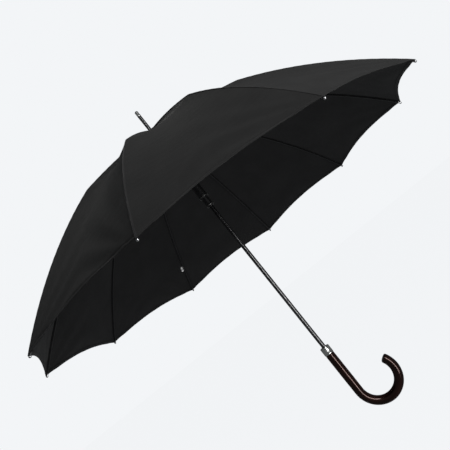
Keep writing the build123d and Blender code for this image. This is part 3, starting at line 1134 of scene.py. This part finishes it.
@dataclass
class TieStrap:
    """Strap that ties the closed umbrella, sewn over rib 4, with its press stud."""

    ribs: RibLine = field(default_factory=RibLine)
    number: int = 4
    from_tip: float = 92.0 * MM
    length: float = 76.0 * MM
    width: float = 22.0 * MM
    lift: float = 6.2 * MM
    stud_radius: float = 5.0 * MM
    stud_depth: float = 2.4 * MM
    stud_top: float = 2.6 * MM
    stud_aside: float = 6.5 * MM
    stud_spread: float = 4.6 * MM
    stud_segments: int = 28
    rows: int = 44
    columns: int = 12
    taper_start: float = 0.9
    taper: float = 0.45
    full_share: float = 0.97

    def build(self) -> None:
        """Build the folded band and the two stud backs inside the canopy."""
        azimuth, outer = self.ribs.azimuth(self.number), self.ribs.outer
        start = outer.length - self.from_tip
        rows, columns = self.rows, self.columns
        upper, lower = [], []
        for row in range(rows + 1):
            share = row / rows
            past = max(share - self.taper_start, 0.0) / 0.1
            narrow = 1.0 - past ** 2 * self.taper
            for column in range(columns + 1):
                side = 2 * column / columns - 1
                curl = 0.5 * MM * side ** 2 + 0.35 * MM * sin(share * 9.0)
                edge = 0.25 * MM if abs(side) > 0.8 or share > 0.94 else 0.0
                across = side * self.width / 2 * narrow
                for layer, up in ((upper, 0.5 * MM + edge), (lower, -0.3 * MM)):
                    flat = outer.point(start + share * self.length, self.lift + curl + up)
                    layer.append(turned(flat, azimuth, across))
        points = upper + lower
        size, wide = len(upper), columns + 1
        faces = grid_faces(rows + 1, wide)
        faces += [tuple(size + index for index in face[::-1]) for face in faces]
        rim = list(range(wide)) + [r * wide + columns for r in range(1, rows + 1)]
        rim += [rows * wide + c for c in range(columns - 1, -1, -1)]
        rim += [r * wide for r in range(rows - 1, 0, -1)]
        faces += [(b, a, size + a, size + b) for a, b in zip(rim, rim[1:] + rim[:1])]
        uvs = [(p.x + p.y, p.z) for p in points]
        band = new_mesh("tie_strap_band", points, faces, uvs)
        body = self.ribs.body(self.number)
        place(band, body, "strap_fabric", Finish.TRIM_CLOTH, "tie_strap")
        self.length
        self.full_share * self.width * self.length
        self.stud_backs()

    def stud_backs(self) -> None:
        """Turn the two pale stud backs on the inside of the canopy, beside the rib."""
        azimuth, outer = self.ribs.azimuth(self.number), self.ribs.outer
        profile = [(0.05, 0.0), (0.55, 0.0), (0.62, 0.25), (1.0, 0.45), (1.0, 0.75),
                   (0.9, 0.95), (0.05, 1.0)]
        for index, along in enumerate((-self.stud_spread, self.stud_spread)):
            at = outer.length - self.from_tip + along
            points, uvs = [], []
            for share, depth in profile:
                reach = share * self.stud_radius
                up = self.stud_top - (1.0 - depth) * self.stud_depth
                for step in range(self.stud_segments):
                    turn = tau * step / self.stud_segments
                    flat = outer.point(at + reach * sin(turn), up)
                    points.append(turned(flat, azimuth, self.stud_aside + reach * cos(turn)))
                    uvs.append((reach * cos(turn), reach * sin(turn)))
            faces = rod_faces(len(profile), self.stud_segments)
            back = new_mesh(f"stud_back_{index + 1}", points, faces, uvs)
            place(back, self.ribs.body(self.number), "bright_nickel", Finish.PALE)


@dataclass
class CadNodes:
    """Finishes of the CAD nodes that are shown as they are."""

    finishes: dict[str, Finish] = field(default_factory=lambda: {
        "shaft_tube": Finish.SHAFT, "ferrule_tube": Finish.SHAFT, "top_notch": Finish.PLASTIC,
        "notch_wire": Finish.SPRING, "runner_sleeve": Finish.PLASTIC, "runner_wire": Finish.SPRING,
        "runner_trim_rings": Finish.NICKEL, "top_catch": Finish.SPRING,
        "bottom_catch": Finish.SPRING, "strap_stud": Finish.NICKEL, "rib_inner": Finish.RIB,
        "rib_outer": Finish.FIBRE, "stretcher": Finish.RIB})

    def build(self) -> None:
        """Dress every CAD node that is not replaced."""
        for name, node in frame["nodes"].items():
            kind = name.rstrip("0123456789").rstrip("_")
            finish = self.finishes.get(name) or self.finishes.get(kind)
            if finish is not None:
                dress(node, finish)
                LOG.info("%s is finished in %s", name, finish.name)


# ---- studio ----


@dataclass
class Studio:
    """Pale seamless studio: floor, world, soft lamps and the camera."""

    backdrop: Point = (0.896, 0.913, 0.931)
    ambient: Flat = (0.42, 0.02)
    reflected: Point = (0.105, 0.110, 0.112)
    floor_drop: float = 0.25
    floor_reach: float = 60.0
    floor_glow: float = 0.98
    lens: float = 40.08
    stand: Point = (0.1490, -1.1406, 0.2331)
    facing: Point = (-0.1299, 0.9784, 0.1607)
    upward: Point = (0.6360, -0.0421, 0.7705)

    def world(self) -> None:
        """Pale world seen by the camera, and a soft light from above for the object."""
        world = bpy.data.worlds.new("studio_world")
        bpy.context.scene.world = world
        world.use_nodes = True
        nodes, links = world.node_tree.nodes, world.node_tree.links
        nodes.clear()
        pale, light, mix = (nodes.new(kind) for kind in (
            "ShaderNodeBackground", "ShaderNodeBackground", "ShaderNodeMixShader"))
        pale.inputs["Color"].default_value = (*self.backdrop, 1)
        coordinates = nodes.new("ShaderNodeTexCoord")
        split = nodes.new("ShaderNodeSeparateXYZ")
        links.new(coordinates.outputs["Generated"], split.inputs[0])
        rise = nodes.new("ShaderNodeMapRange")
        ends = zip(("From Min", "From Max", "To Min", "To Max"), (-1.0, 1.0, *self.ambient))
        for key, value in ends:
            rise.inputs[key].default_value = value
        links.new(split.outputs["Z"], rise.inputs["Value"])
        links.new(rise.outputs[0], light.inputs["Strength"])
        light.inputs["Color"].default_value = (0.97, 0.98, 1.0, 1)
        gloss, split_gloss = nodes.new("ShaderNodeBackground"), nodes.new("ShaderNodeMixShader")
        gloss.inputs["Color"].default_value = (*self.reflected, 1)
        path, output = nodes.new("ShaderNodeLightPath"), nodes.new("ShaderNodeOutputWorld")
        for source, target in (
                (path.outputs["Is Glossy Ray"], split_gloss.inputs[0]),
                (light.outputs[0], split_gloss.inputs[1]),
                (gloss.outputs[0], split_gloss.inputs[2]),
                (path.outputs["Is Camera Ray"], mix.inputs[0]),
                (split_gloss.outputs[0], mix.inputs[1]), (pale.outputs[0], mix.inputs[2]),
                (mix.outputs[0], output.inputs["Surface"])):
            links.new(source, target)

    def floor(self) -> None:
        """Pale floor well below the handle."""
        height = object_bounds()[0][2] - self.floor_drop
        size = self.floor_reach
        corners = [(x * size, y * size, height) for x, y in ((-1, -1), (1, -1), (1, 1), (-1, 1))]
        floor = new_mesh("studio_floor", corners, [(0, 1, 2, 3)])
        g = Graph("pale_floor")
        tint = g.noise(g.stretched("Object", (1, 1, 1)), 3.0)
        g.set(Base_Color=g.ramp(tint, [(0.0, (0.04, 0.04, 0.04)), (1.0, (0.05, 0.05, 0.05))]),
              Roughness=1.0, Emission_Color=(*self.backdrop, 1), Emission_Strength=self.floor_glow,
              Specular_IOR_Level=0.0)
        floor.data.materials.append(g.material)
        floor.visible_diffuse = False
        floor.visible_glossy = False
        floor.visible_shadow = False
        floor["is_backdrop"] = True

    def lamp(self, name: str, at: Point, towards: Point, size: Flat, watts: float,
             tint: Point = (1.0, 1.0, 1.0)) -> Piece:
        """Add a rectangular soft lamp.

        Args:
            name: Name of the lamp.
            at: Its place.
            towards: The point it faces.
            size: Width and height.
            watts: Power.
            tint: Colour of its light.

        Returns:
            The lamp.
        """
        data = bpy.data.lights.new(name, "AREA")
        data.shape, data.size, data.size_y, data.energy = "RECTANGLE", *size, watts
        data.color = tint
        lamp = bpy.data.objects.new(name, data)
        bpy.context.scene.collection.objects.link(lamp)
        aim = (Vector(towards) - Vector(at)).to_track_quat("-Z", "Y")
        lamp.matrix_world = Matrix.Translation(Vector(at)) @ aim.to_matrix().to_4x4()
        return lamp

    def lamps(self) -> None:
        """Key on the crook's side, a low fill on the other, and an upright strip for highlights."""
        middle = (0.0, 0.0, 0.45)
        key = self.lamp("key_right", (2.4, -1.55, 0.78), middle, (1.1, 1.1), 80.0,
                        (1.0, 0.99, 0.96))
        fill = self.lamp("fill_below", (-1.2, 0.2, -1.2), middle, (1.2, 1.2), 8.0)
        key.visible_glossy = fill.visible_glossy = False
        strip = self.lamp("strip_front", (1.25, -2.0, 0.30), (0.0, 0.0, 0.30), (0.42, 3.0), 60.0)
        strip.visible_diffuse = False

    def camera(self) -> None:
        """Camera low on the crook's side, rolled so that the shaft runs down to the right."""
        data = bpy.data.cameras.new("camera")
        data.lens, data.sensor_width = self.lens, 36.0
        camera = bpy.data.objects.new("camera", data)
        bpy.context.scene.collection.objects.link(camera)
        forward = Vector(self.facing).normalized()
        right = forward.cross(Vector(self.upward)).normalized()
        axes = Matrix((right, right.cross(forward), -forward)).transposed().to_4x4()
        camera.matrix_world = Matrix.Translation(Vector(self.stand)) @ axes
        bpy.context.scene.camera = camera

    def build(self) -> None:
        """Set the stage."""
        bpy.context.scene.view_settings.view_transform = "Standard"
        self.world()
        self.floor()
        self.lamps()
        self.camera()


def main() -> None:
    """Build every sub-assembly in order."""
    logging.basicConfig(level=logging.INFO, format="%(message)s")
    Studio().build()
    CadNodes().build()
    Canopy().build()
    Crown().build()
    Handle().build()
    Ferrule().build()
    TieStrap().build()
    RibTips().build()


if __name__ == "__main__":
    main()
